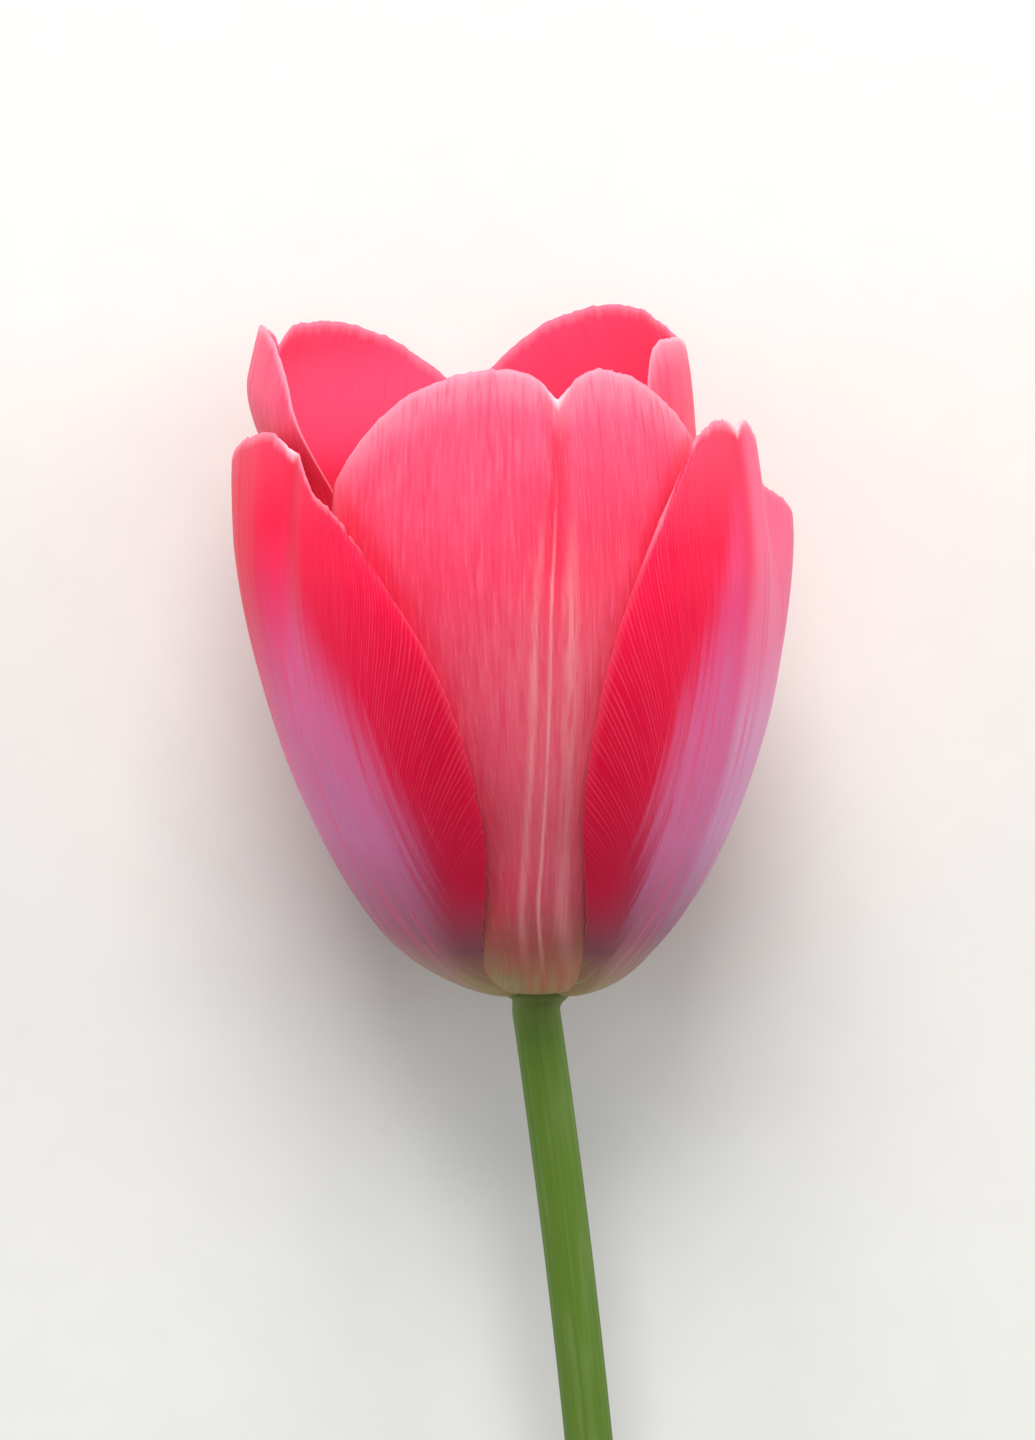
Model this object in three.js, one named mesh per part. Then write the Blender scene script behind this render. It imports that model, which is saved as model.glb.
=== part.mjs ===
// One cut tulip flower lying on a table: six petals in two whorls, six stamens, a pistil and a leafless stem.
// Millimetres, +Z up. The bloom runs along +Y from the stem to its mouth, with its best side facing up.
// The origin is the middle of the flat spot where the back petal's belly rests on the table.
import * as THREE from "three";

const DEG = Math.PI / 180;
const TINY_STEP = 0.02;

// The bloom's own frame has x to the right, y along the bloom's axis from the stem's top, z towards its front.
// The bloom lies tilted, mouth up, and the stem's top is held this high by the petals' belly.
const TILT = 9.1;
const FOOT_HEIGHT = 26.35;
const REST_X = -2.2;
const REST_Y = 48;

// The cup that the petals lie on: a bowl that swells to its belly and draws in slowly to the mouth.
const FOOT_RADIUS = 4.7;
const FOOT_LIFT = 0.5;
const BELLY_RADIUS = 35.1;
const BELLY_HEIGHT = 58;
const BOWL_POWER = 1.6;
const BOWL_ROUND = 0.53;
const MOUTH_TAPER = 0.0047;

// The bloom stands a little to the left of its foot and leans further left towards the mouth.
const LOW_SHIFT = -1.15;
const SHIFT_HEIGHT = 7;
const AXIS_LEAN = -0.023;

// How the petals fill the cup, as shares of a petal's height. Each rises by a power, spreads from its foot and
// closes to its top corners. The inner whorl lies inside the outer one by the two layer distances.
const RISE_POWER = 1.6;
const FOOT_SPREAD = 0.14;
const SWELL_START = 0.1;
const CLOSE_POWER = 6.1;
const CLOSE_ROUND = 0.85;
const NOTCH_POWER = 1.5;
const TUCK_END = 0.3;
const CURL_START = 0.4;
const LAYER_FOOT = 1.5;
const LAYER_BELLY = 1.75;
const LAYER_START = 0.02;
const LAYER_END = 0.3;

// A petal's blade and its grid, whose rows crowd to the foot and whose columns crowd to the midrib.
const PETAL_THICKNESS = 1.0;
const MARGIN_THICKNESS = 0.65;
const MARGIN_POWER = 4;
const PETAL_ROWS = 20;
const ROW_CROWDING = 1.2;
const HALF_COLUMNS = 12;
const COLUMN_CROWDING = 1.25;

// Where the back petal's belly rests, as rows and columns of its grid: a flat spot at the table's height, and four
// level low points round it that stand proud of it by a hair, so that the flower lies without rocking. The belly
// round them is pressed to just above the table.
const REST_SPOT = { rows: [16, 17], columns: [10, 14] };
const LOW_POINTS = [[16, 8], [16, 16], [18, 8], [18, 16]];
const LOW_POINT_DROP = 0.25;
const BELLY_LIFT = 0.3;

// Stem: length from its top to the cut end, its sideways course and its slight arch.
const STEM_LENGTH = 150;
const STEM_RADIUS = 3;
const STEM_START_X = -0.5;
const STEM_START_RUN = 3;
const STEM_SLOPE = 0.145;
const STEM_BEND = 0.0004;
const STEM_ARCH = 2.5;
const STEM_STRAIGHT_TOP = 2;
const STEM_SIDES = 20;
const STEM_STATIONS = 32;
const CUT_SLOPE = 0.35;
const CUT_RUN = 5;

// The receptacle is the stem's swollen top, which carries every other piece.
const KNOB_RADIUS = 4.4;
const KNOB_SHOULDER = 1.6;
const KNOB_TOP = 2.2;
const KNOB_BEVEL = 0.35;
const FLARE_LENGTH = 2.4;
const FLARE_STATIONS = 4;
const SEAT_GAP = 0.3;
const BASE_Y = KNOB_TOP + SEAT_GAP;

// Stamens and pistil. Radii are at the foot or the belly, and a taper is what the radius loses to the tip.
const STAMEN_COUNT = 6;
const STAMEN_FIRST_AZIMUTH = 4;
const STAMEN_SEAT_RADIUS = 3.5;
const FILAMENT = { length: 9, lean: 13, radius: 0.85, taper: 0.4, lift: 0.15, sides: 8, stations: 6 };
const ANTHER = { length: 13, lean: 8, radius: 1.1, breadth: 1.35, furrow: 0.16, blunt: 0.08, sides: 12, stations: 9 };
const OVARY = { length: 20, radius: 2.1, belly: 0.75, bellyPower: 0.8, taper: 0.3, ridge: 0.08, sides: 18, stations: 10 };
const STIGMA = { height: 3.4, neck: 1.9, spread: 2.1, lobe: 0.28, sides: 24, stations: 8 };

const SOFT = { roughness: 0.5, metalness: 0 };
const OUTER_PINK = new THREE.MeshStandardMaterial({ color: 0xe8405f, ...SOFT });
const INNER_PINK = new THREE.MeshStandardMaterial({ color: 0xf2607c, ...SOFT });
const STEM_GREEN = new THREE.MeshStandardMaterial({ color: 0x6f8f3f, ...SOFT });
const FILAMENT_CREAM = new THREE.MeshStandardMaterial({ color: 0xe9e2a8, ...SOFT });
const ANTHER_PURPLE = new THREE.MeshStandardMaterial({ color: 0x38222f, roughness: 0.85, metalness: 0 });
const OVARY_GREEN = new THREE.MeshStandardMaterial({ color: 0xa9bd74, ...SOFT });
const STIGMA_CREAM = new THREE.MeshStandardMaterial({ color: 0xe6dc9a, roughness: 0.7, metalness: 0 });

// A petal's side: half angles in degrees at its foot, low down, at its widest and at its top corner, how far the
// rim drops to that corner and by what power, how far the margin tucks in, and how far it curls in at the top.
function side(foot, low, wide, corner, drop, power, tuck = 1.5, curl = 0) {
  return { foot, low, wide, corner, drop, power, tuck, curl };
}

// Azimuths are of the midribs, from the front towards the right. Heights are the rim's at the midrib, before its
// notch, and waves lower the rim beside it. A fold is a groove along the petal, and leans move it out or in.
const PETALS = [
  {
    name: "petal_outer_left", azimuth: -55.5, inner: false, height: 78.8, widest: 0.58,
    left: side(40, 41, 44, 30, 10.8, 0.9, 1.3, -1.6), right: side(30, 34, 45.5, 22, 18.3, 0.95),
    notch: { depth: 5.7, width: 4.3 },
    waves: [{ centre: -7.2, width: 9.3, depth: 1.3 }, { centre: 9.3, width: 4.2, depth: 2 }],
    fold: { centre: 0, width: 5, depth: -1.8, from: 0.42, to: 0.9 },
    leans: [{ by: 0.3, from: 0.3, to: 1 }],
  },
  {
    name: "petal_outer_right", azimuth: 55.5, inner: false, height: 76.8, widest: 0.62,
    left: side(27, 29, 41, 13.8, 4.9, 3.9, 1.2), right: side(42, 39, 38.5, 31.7, 15.6, 1.65, 1.2, -1.5),
    notch: { depth: 1.5, width: 2.7 },
    waves: [{ centre: 7.2, width: 2, depth: 0.7 }, { centre: 18.6, width: 9.4, depth: 3.2 }],
    fold: { centre: 19, width: 8, depth: -3.2, from: 0.45, to: 0.95 },
    leans: [{ by: -0.9, from: 0.3, to: 1 }],
  },
  {
    name: "petal_outer_back", azimuth: 180, inner: false, height: 71, widest: 0.42,
    left: side(42, 40, 43, 22, 6.5, 3.5), right: side(42, 42, 46, 26, 6, 4),
    notch: { depth: 1, width: 3 }, waves: [],
    fold: { centre: 0, width: 6, depth: -1.4, from: 0.7, to: 1 },
    leans: [{ by: 1.1, from: 0.3, to: 1 }],
  },
  {
    name: "petal_inner_front", azimuth: 11, inner: true, height: 85.3, widest: 0.75,
    left: side(43, 46, 59.5, 59, 17.2, 3.1), right: side(27, 30, 38, 37.5, 11.2, 2.6),
    notch: { depth: 4, width: 5.3 }, waves: [],
    fold: { centre: 0, width: 5, depth: -1.3, from: 0.5, to: 1 }, leans: [],
  },
  {
    name: "petal_inner_left", azimuth: -115, inner: true, height: 86.6, widest: 1.1,
    left: side(42, 44, 51, 50.5, 14.3, 1.7, 1.5, 3.4), right: side(46, 48, 68, 67.5, 29, 5, 1.5, 2.6),
    notch: { depth: 2.2, width: 3.5 }, waves: [{ centre: -0.6, width: 26, depth: 4.9 }],
    fold: { centre: 0, width: 13, depth: -0.7, from: 0.5, to: 1 },
    leans: [{ by: -3.3, from: 0.3, to: 1 }, { by: 6.2, from: 0.72, to: 0.9 }],
  },
  {
    name: "petal_inner_right", azimuth: 117.5, inner: true, height: 87.2, widest: 1.1,
    left: side(46, 48, 70, 66.8, 5.7, 20, 0.6), right: side(42, 46, 70, 77, 12.8, 3.1),
    notch: { depth: 0.3, width: 3 }, waves: [{ centre: -21.5, width: 16, depth: 2.9 }],
    fold: { centre: 0, width: 16, depth: -1, from: 0.6, to: 1 },
    leans: [{ by: -9, from: 0.36, to: 0.76 }, { by: 1.4, from: 0.78, to: 1 }],
  },
];

function clamp01(x) {
  return Math.min(1, Math.max(0, x));
}

function smooth(from, to, x) {
  const t = clamp01((x - from) / (to - from));
  return t * t * (3 - 2 * t);
}

// A dip of 1 at the centre that fades out over the width.
function dip(x, centre, width) {
  return Math.exp(-(((x - centre) / width) ** 2));
}

// Radius of the cup at height y.
function cupRadius(y) {
  const climbed = clamp01((y - FOOT_LIFT) / (BELLY_HEIGHT - FOOT_LIFT));
  const filled = 1 - Math.pow(1 - climbed, BOWL_POWER);
  const bowl = FOOT_RADIUS + (BELLY_RADIUS - FOOT_RADIUS) * Math.pow(filled, BOWL_ROUND);
  return bowl - MOUTH_TAPER * Math.max(0, y - BELLY_HEIGHT) ** 2;
}

// Outward normal of the cup at height y, as its parts along the radius and along the axis.
function cupNormal(y) {
  const low = Math.max(FOOT_LIFT, y - TINY_STEP);
  const slope = (cupRadius(y + TINY_STEP) - cupRadius(low)) / (y + TINY_STEP - low);
  const length = Math.hypot(1, slope);
  return { radial: 1 / length, axial: -slope / length };
}

// Sideways place of the bloom's leaning axis at height y.
function axisX(y) {
  return LOW_SHIFT * smooth(0, SHIFT_HEIGHT, y) + AXIS_LEAN * y;
}

// Table plane in the bloom's frame: the least z that a point at height y may have.
function tableZ(y) {
  return (-FOOT_HEIGHT - y * Math.sin(TILT * DEG)) / Math.cos(TILT * DEG);
}

// Half the petal's angle at relative height u, from its foot to its widest and on to its top corner.
function halfAngle(s, widest, u) {
  const low = s.foot + (s.low - s.foot) * smooth(0, FOOT_SPREAD, u);
  const swell = low + (s.wide - s.low) * smooth(SWELL_START, widest, u);
  const closing = 1 - Math.pow(s.corner / s.wide, 1 / CLOSE_ROUND);
  return swell * Math.pow(1 - closing * Math.pow(u, CLOSE_POWER), CLOSE_ROUND);
}

// Height of the rim over the point v of a petal's width.
function rimHeight(petal, s, v) {
  const turn = v * s.corner;
  const notch = petal.notch.depth * Math.exp(-Math.pow(Math.abs(turn / petal.notch.width), NOTCH_POWER));
  const waves = petal.waves.map(({ centre, width, depth }) => depth * dip(turn, centre, width));
  return waves.reduce((rim, wave) => rim - wave, petal.height - s.drop * Math.pow(Math.abs(v), s.power) - notch);
}

// Middle surface of a petal: u runs from foot to rim, v from the left margin at -1 to the right one at 1.
function petalPoint(petal, u, v) {
  const s = v < 0 ? petal.left : petal.right;
  const turn = v * halfAngle(s, petal.widest, u);
  const y = FOOT_LIFT + (rimHeight(petal, s, v) - FOOT_LIFT) * Math.pow(u, RISE_POWER);
  const t = y / petal.height;
  let out = -s.tuck * v * v * smooth(0, TUCK_END, t) - s.curl * v * v * smooth(CURL_START, 1, t);
  if (petal.inner) {
    out -= LAYER_FOOT + LAYER_BELLY * smooth(LAYER_START, LAYER_END, t);
  }
  const { fold, leans } = petal;
  out += fold.depth * dip(turn, fold.centre, fold.width) * smooth(fold.from, fold.to, t);
  leans.forEach((lean) => {
    out += lean.by * smooth(lean.from, lean.to, t);
  });
  const normal = cupNormal(y);
  const radius = cupRadius(y) + normal.radial * out;
  const height = y + normal.axial * out;
  const azimuth = (petal.azimuth + turn) * DEG;
  return new THREE.Vector3(radius * Math.sin(azimuth) + axisX(height), height, radius * Math.cos(azimuth));
}

// Unit normal of the middle surface, pointing out of the cup, from two short steps on it.
function petalNormal(petal, u, v) {
  const up = petalPoint(petal, Math.min(1, u + TINY_STEP), v).sub(petalPoint(petal, Math.max(0, u - TINY_STEP), v));
  const right = petalPoint(petal, u, Math.min(1, v + TINY_STEP));
  const across = right.sub(petalPoint(petal, u, Math.max(-1, v - TINY_STEP)));
  return across.cross(up).normalize();
}

// Closed mesh from a list of points and a list of triangles.
function closedGeometry(points, triangles) {
  const geometry = new THREE.BufferGeometry();
  geometry.setAttribute("position", new THREE.Float32BufferAttribute(points.flatMap((p) => [p.x, p.y, p.z]), 3));
  geometry.setIndex(triangles.flat());
  geometry.computeVertexNormals();
  return geometry;
}

// How far above the table a corner of the belly's outer face is pressed.
function restLift(i, j) {
  if (LOW_POINTS.some(([row, column]) => row === i && column === j)) return -LOW_POINT_DROP;
  const { rows, columns } = REST_SPOT;
  const inSpot = i >= rows[0] && i <= rows[1] && j >= columns[0] && j <= columns[1];
  return inSpot ? 0 : BELLY_LIFT;
}

// One corner of a petal's grid on its outer face, where face is 1, or its inner face, where face is -1.
// Where the blade would sink into the table, it is pressed up.
function bladePoint(petal, face, i, j) {
  const u = Math.pow(i / PETAL_ROWS, ROW_CROWDING);
  const s = j / HALF_COLUMNS - 1;
  const v = Math.sign(s) * Math.pow(Math.abs(s), COLUMN_CROWDING);
  const body = (1 - v ** MARGIN_POWER) * (1 - u ** MARGIN_POWER);
  const thickness = MARGIN_THICKNESS + (PETAL_THICKNESS - MARGIN_THICKNESS) * body;
  const point = petalPoint(petal, u, v).addScaledVector(petalNormal(petal, u, v), (face * thickness) / 2);
  const table = tableZ(point.y);
  if (face < 0) point.z = Math.max(point.z, table + thickness + BELLY_LIFT);
  else if (point.z < table + BELLY_LIFT) point.z = table + restLift(i, j);
  return point;
}

// The corners of a grid's border, once round.
function borderOf(rows, columns) {
  const border = [];
  for (let j = 0; j < columns - 1; j++) border.push([0, j]);
  for (let i = 0; i < rows - 1; i++) border.push([i, columns - 1]);
  for (let j = columns - 1; j > 0; j--) border.push([rows - 1, j]);
  for (let i = rows - 1; i > 0; i--) border.push([i, 0]);
  return border;
}

// A petal as a thin closed blade: an outer and an inner face on the same grid, joined round the margin.
function petalGeometry(petal) {
  const rows = PETAL_ROWS + 1;
  const columns = 2 * HALF_COLUMNS + 1;
  const points = [];
  for (const face of [1, -1]) {
    for (let i = 0; i < rows; i++) {
      for (let j = 0; j < columns; j++) points.push(bladePoint(petal, face, i, j));
    }
  }
  const outer = (i, j) => i * columns + j;
  const inner = (i, j) => (rows + i) * columns + j;
  const triangles = [];
  for (let i = 0; i < rows - 1; i++) {
    for (let j = 0; j < columns - 1; j++) {
      triangles.push([outer(i, j), outer(i, j + 1), outer(i + 1, j + 1)]);
      triangles.push([outer(i, j), outer(i + 1, j + 1), outer(i + 1, j)]);
      triangles.push([inner(i, j), inner(i + 1, j + 1), inner(i, j + 1)]);
      triangles.push([inner(i, j), inner(i + 1, j), inner(i + 1, j + 1)]);
    }
  }
  const border = borderOf(rows, columns);
  border.forEach(([i, j], k) => {
    const [m, n] = border[(k + 1) % border.length];
    triangles.push([outer(i, j), inner(m, n), outer(m, n)]);
    triangles.push([outer(i, j), inner(i, j), inner(m, n)]);
  });
  return closedGeometry(points, triangles);
}

// A closed body of rings about the y axis. Each station gives its height y and a ring radius, which the outline
// function may change with the angle. Both ends close on the axis.
function ringGeometry(stations, sides, outline, place = (point) => point) {
  const points = [place(new THREE.Vector3(0, stations[0].y, 0))];
  for (const station of stations) {
    for (let j = 0; j < sides; j++) {
      const { x, z } = outline((2 * Math.PI * j) / sides, station.radius);
      points.push(place(new THREE.Vector3(x, station.y, z)));
    }
  }
  const last = stations.length - 1;
  points.push(place(new THREE.Vector3(0, stations[last].y, 0)));
  const ring = (k, j) => 1 + k * sides + (j % sides);
  const end = points.length - 1;
  const triangles = [];
  for (let j = 0; j < sides; j++) {
    triangles.push([0, ring(0, j + 1), ring(0, j)]);
    for (let k = 0; k < last; k++) {
      triangles.push([ring(k, j), ring(k, j + 1), ring(k + 1, j + 1)]);
      triangles.push([ring(k, j), ring(k + 1, j + 1), ring(k + 1, j)]);
    }
    triangles.push([end, ring(last, j), ring(last, j + 1)]);
  }
  return closedGeometry(points, triangles);
}

function round(angle, radius) {
  return { x: radius * Math.sin(angle), z: radius * Math.cos(angle) };
}

// An outline whose radius swells and shrinks a few times round, as on a three-sided ovary.
function lobed(count, depth) {
  return (angle, radius) => round(angle, radius * (1 + depth * Math.cos(count * angle)));
}

// Centre line of the stem in the bloom's frame, s millimetres below its top.
function stemCentre(s) {
  const x = STEM_START_X * smooth(0, STEM_START_RUN, s) + STEM_SLOPE * s - STEM_BEND * s * s;
  return new THREE.Vector3(x, -s, STEM_ARCH * Math.sin((Math.PI * s) / STEM_LENGTH));
}

// A point of a straight stem about the y axis, carried to the bent one, slanted at the cut, laid on the table.
function placeOnStem(point) {
  const s = Math.max(0, -point.y);
  const centre = stemCentre(s);
  const ahead = stemCentre(s + TINY_STEP).sub(centre).normalize();
  const along = ahead.lerp(new THREE.Vector3(0, -1, 0), smooth(STEM_STRAIGHT_TOP, 0, s)).normalize();
  const right = new THREE.Vector3(1, 0, 0).addScaledVector(along, -along.x).normalize();
  const front = new THREE.Vector3().crossVectors(right, along).normalize().negate();
  const cut = CUT_SLOPE * point.z * smooth(STEM_LENGTH - CUT_RUN, STEM_LENGTH, s);
  const moved = new THREE.Vector3(0, Math.max(0, point.y), 0).add(centre);
  moved.addScaledVector(right, point.x).addScaledVector(front, point.z).addScaledVector(along, cut);
  moved.z = Math.max(moved.z, tableZ(moved.y));
  return moved;
}

// Stem and receptacle, grown as one piece, from the flat cut end up to the top of the knob.
function stemGeometry() {
  const stations = [];
  for (let k = 0; k <= STEM_STATIONS; k++) {
    const below = STEM_LENGTH + (FLARE_LENGTH - STEM_LENGTH) * (k / STEM_STATIONS);
    stations.push({ y: -below, radius: STEM_RADIUS });
  }
  for (let k = 1; k <= FLARE_STATIONS; k++) {
    const share = k / FLARE_STATIONS;
    const flare = smooth(0, 1, share) ** 2;
    stations.push({ y: FLARE_LENGTH * (share - 1), radius: STEM_RADIUS + (KNOB_RADIUS - STEM_RADIUS) * flare });
  }
  stations.push({ y: KNOB_SHOULDER, radius: KNOB_RADIUS });
  stations.push({ y: KNOB_TOP, radius: KNOB_RADIUS - KNOB_BEVEL });
  return ringGeometry(stations, STEM_SIDES, round, placeOnStem);
}

// Stations of a rounded body from y = 0 to its length, with a radius given by a function of the way along it.
function roundedStations(length, count, radius) {
  const stations = [];
  for (let k = 0; k <= count; k++) {
    const t = (1 - Math.cos((Math.PI * k) / count)) / 2;
    stations.push({ y: length * t, radius: radius(t) });
  }
  return stations;
}

// A stamen's stalk, thick at its foot and fine where the anther sits.
function filamentGeometry() {
  const { length, stations, radius, taper, sides } = FILAMENT;
  return ringGeometry(roundedStations(length, stations, (t) => radius - taper * t), sides, round);
}

// An anther: a long blunt pod, wider than deep, with a furrow down each broad face.
function antherGeometry() {
  const { length, stations, radius, breadth, furrow, blunt, sides } = ANTHER;
  const pod = (t) => radius * Math.pow(Math.max(blunt, 4 * t * (1 - t)), 0.3);
  const outline = (angle, ring) => {
    const { x, z } = round(angle, ring * (1 - furrow * Math.cos(2 * angle) ** 2 * Math.cos(angle) ** 2));
    return { x: breadth * x, z };
  };
  return ringGeometry(roundedStations(length, stations, pod), sides, outline);
}

// The ovary: a blunt three-sided column, fullest below its middle.
function ovaryGeometry() {
  const { length, stations, radius, belly, bellyPower, taper, ridge, sides } = OVARY;
  const body = (t) => radius + belly * Math.sin(Math.PI * Math.pow(t, bellyPower)) - taper * t;
  return ringGeometry(roundedStations(length, stations, body), sides, lobed(3, ridge));
}

// The stigma: three spreading lobes that arch over the ovary's top.
function stigmaGeometry() {
  const { height, stations, neck, spread, lobe, sides } = STIGMA;
  const crown = (t) => neck + spread * Math.pow(Math.sin(Math.PI * (0.1 + 0.75 * t)), 1.5);
  return ringGeometry(roundedStations(height, stations, crown), sides, lobed(3, lobe));
}

function mesh(name, geometry, material) {
  const piece = new THREE.Mesh(geometry, material.clone());
  piece.name = name;
  return piece;
}

// One stamen, which stands on the knob and leans out. Its anther sits on the filament's tip and leans out less.
function stamenGroup(number) {
  const stamen = new THREE.Group();
  const filament = mesh(`filament_${number}`, filamentGeometry(), FILAMENT_CREAM);
  filament.position.set(0, BASE_Y + FILAMENT.lift, STAMEN_SEAT_RADIUS);
  filament.rotation.x = FILAMENT.lean * DEG;
  const tip = new THREE.Vector3(0, FILAMENT.length + SEAT_GAP, 0).applyEuler(filament.rotation);
  const anther = mesh(`anther_${number}`, antherGeometry(), ANTHER_PURPLE);
  anther.position.copy(tip.add(filament.position));
  anther.rotation.x = ANTHER.lean * DEG;
  stamen.add(filament, anther);
  return stamen;
}

const bloom = new THREE.Group();
bloom.rotation.x = TILT * DEG;
bloom.position.x = -REST_X;
bloom.position.y = -REST_Y / Math.cos(TILT * DEG) - FOOT_HEIGHT * Math.tan(TILT * DEG);
bloom.position.z = FOOT_HEIGHT;

bloom.add(mesh("stem", stemGeometry(), STEM_GREEN));
for (const petal of PETALS) {
  bloom.add(mesh(petal.name, petalGeometry(petal), petal.inner ? INNER_PINK : OUTER_PINK));
}
for (let k = 0; k < STAMEN_COUNT; k++) {
  const stamen = stamenGroup(k + 1);
  stamen.rotation.y = (STAMEN_FIRST_AZIMUTH + (360 / STAMEN_COUNT) * k) * DEG;
  bloom.add(stamen);
}

const ovary = mesh("ovary", ovaryGeometry(), OVARY_GREEN);
ovary.position.y = BASE_Y;
const stigma = mesh("stigma", stigmaGeometry(), STIGMA_CREAM);
stigma.position.y = BASE_Y + OVARY.length + SEAT_GAP;
bloom.add(ovary, stigma);

const flower = new THREE.Group();
flower.add(bloom);

export default flower;
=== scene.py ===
import math

import bpy
import numpy as np
from mathutils import Matrix, Vector


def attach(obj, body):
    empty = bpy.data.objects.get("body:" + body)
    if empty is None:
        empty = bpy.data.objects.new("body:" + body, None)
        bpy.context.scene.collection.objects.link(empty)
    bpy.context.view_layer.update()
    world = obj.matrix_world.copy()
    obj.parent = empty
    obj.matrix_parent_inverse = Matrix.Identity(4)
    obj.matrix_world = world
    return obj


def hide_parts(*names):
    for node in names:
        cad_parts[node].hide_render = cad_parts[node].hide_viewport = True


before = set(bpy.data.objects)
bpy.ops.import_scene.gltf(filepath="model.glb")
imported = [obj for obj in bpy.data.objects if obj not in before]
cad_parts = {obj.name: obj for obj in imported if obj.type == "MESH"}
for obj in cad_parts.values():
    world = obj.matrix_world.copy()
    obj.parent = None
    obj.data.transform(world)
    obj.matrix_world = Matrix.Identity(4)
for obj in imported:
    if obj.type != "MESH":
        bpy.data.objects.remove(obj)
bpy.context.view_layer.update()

MILLIMETRE = 0.001

# How the bloom lies, as in the solids.
TILT = math.radians(9.1)
FOOT_HEIGHT = 26.35
REST_X = -2.2
REST_Y = 48
FOOT_Y = -REST_Y / math.cos(TILT) - FOOT_HEIGHT * math.tan(TILT)

# The cup that the petals lie on.
FOOT_RADIUS = 4.7
FOOT_LIFT = 0.5
BELLY_RADIUS = 35.1
BELLY_HEIGHT = 58
BOWL_POWER = 1.6
BOWL_ROUND = 0.53
MOUTH_TAPER = 0.0047
LOW_SHIFT = -1.15
SHIFT_HEIGHT = 7
AXIS_LEAN = -0.023

# How the petals fill the cup. Starts and ends are shares of the way up a petal.
RISE_POWER = 1.6
CLOSE_POWER = 6.1
CLOSE_ROUND = 0.85
FOOT_SPREAD_END = 0.14
WIDENING_START = 0.1
NOTCH_POWER = 1.5
TUCK_END = 0.3
CURL_START = 0.4
LAYER_FOOT = 1.5
LAYER_BELLY = 1.75
LAYER_START = 0.02
LAYER_END = 0.3
SOLID_THICKNESS = 1.0
SOLID_MARGIN = 0.65
SOLID_MARGIN_POWER = 4

# The fine petals: their grid, whose rows crowd a little towards the rim, and the blade's thickness, which
# thins to the margin's over about MARGIN_RUN.
PETAL_ROWS = 190
PETAL_COLUMNS = 150
ROW_CROWDING = 0.9
BLADE_THICKNESS = 0.8
MARGIN_THICKNESS = 0.14
MARGIN_RUN = 2.6

# Unevenness of the fine petals, each a sum of waves: its depth, its longest wavelength and its number of
# waves. The nicks' depth is a share of the half width. For all this, a rim is taken to reach so far to each
# side, and a side margin to be so long.
RIM_HALF_WIDTH = 30
SIDE_LENGTH = 80
RIM_WAVES = {"depth": 0.22, "longest": 9, "count": 6}
RIM_TEETH = {"depth": 0.1, "longest": 2.4, "count": 3}
SIDE_NICKS = {"depth": 0.008, "longest": 6, "count": 5}
VEIN_RIBS = {"depth": 0.06, "longest": 9.3, "count": 4}
SWELLS = {"depth": 0.12, "longest": 40, "count": 3}
NEXT_WEIGHT = 0.75
NEXT_FREQUENCY = 1.62
RIM_WAVES_START = 0.6
SIDE_NICKS_START = 0.85
RIBS_FOOT_RUN = 20
RIBS_MARGIN_RUN = 5
SWELLS_SLANT = 0.3
SWELLS_START = 20
SWELLS_END = 60

# Low down, the inner petals stand out from the solids and the outer ones' margins sink, which closes gaps.
FOOT_SETTLE = 0.85
MARGIN_SETTLE = 0.6
MARGIN_SETTLE_POWER = 6
SETTLE_START = 5
SETTLE_END = 24

# Side veins: how many millimetres up the petal they climb for each half width outwards, at an outer petal's
# and at an inner petal's margin, and how many more beside the midrib. They curve as a power of the distance
# left to the margin, lie this far apart there, and wander a little.
OUTER_MARGIN_PITCH = 30
INNER_MARGIN_PITCH = 60
MIDRIB_PITCH = 150
VEIN_CURVE = 2.8
VEIN_SPACING = 1.05
VEIN_WANDER = 9.0

# Stem. The cut's rings, from the middle out, have shares of its radius, and heights over the lowest one.
STEM_LENGTH = 150
STEM_RADIUS = 3.0
STEM_START_X = -0.5
STEM_START_RUN = 3
STEM_SLOPE = 0.145
STEM_BEND = 0.0004
STEM_ARCH = 2.5
STEM_UPRIGHT_RUN = 2
STEM_ROWS = 260
STEM_ROW_CROWDING = 1.3
STEM_SIDES = 96
CUT_SLOPE = 0.35
CUT_RUN = 5
CUT_EDGE = 0.3
CUT_RADII = [0.04, 0.2, 0.4, 0.6, 0.8, 0.94, 0.99]
CUT_HEIGHTS = [0.25, 0.24, 0.2, 0.14, 0.06, 0, 0.05]
FLARE_LENGTH = 2.4
KNOB_RADIUS = 4.4
KNOB_SPREAD = 0.9
KNOB_ROWS = 12
KNOB_SHOULDER = 1.6
KNOB_TOP = 2.2
KNOB_CROWN = 0.25
SEAT_GAP = 0.3
STEM_RIBS = {"count": 18, "depth": 0.012, "wander": 0.6, "wanders": 3, "start": 4, "end": 14}

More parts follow.
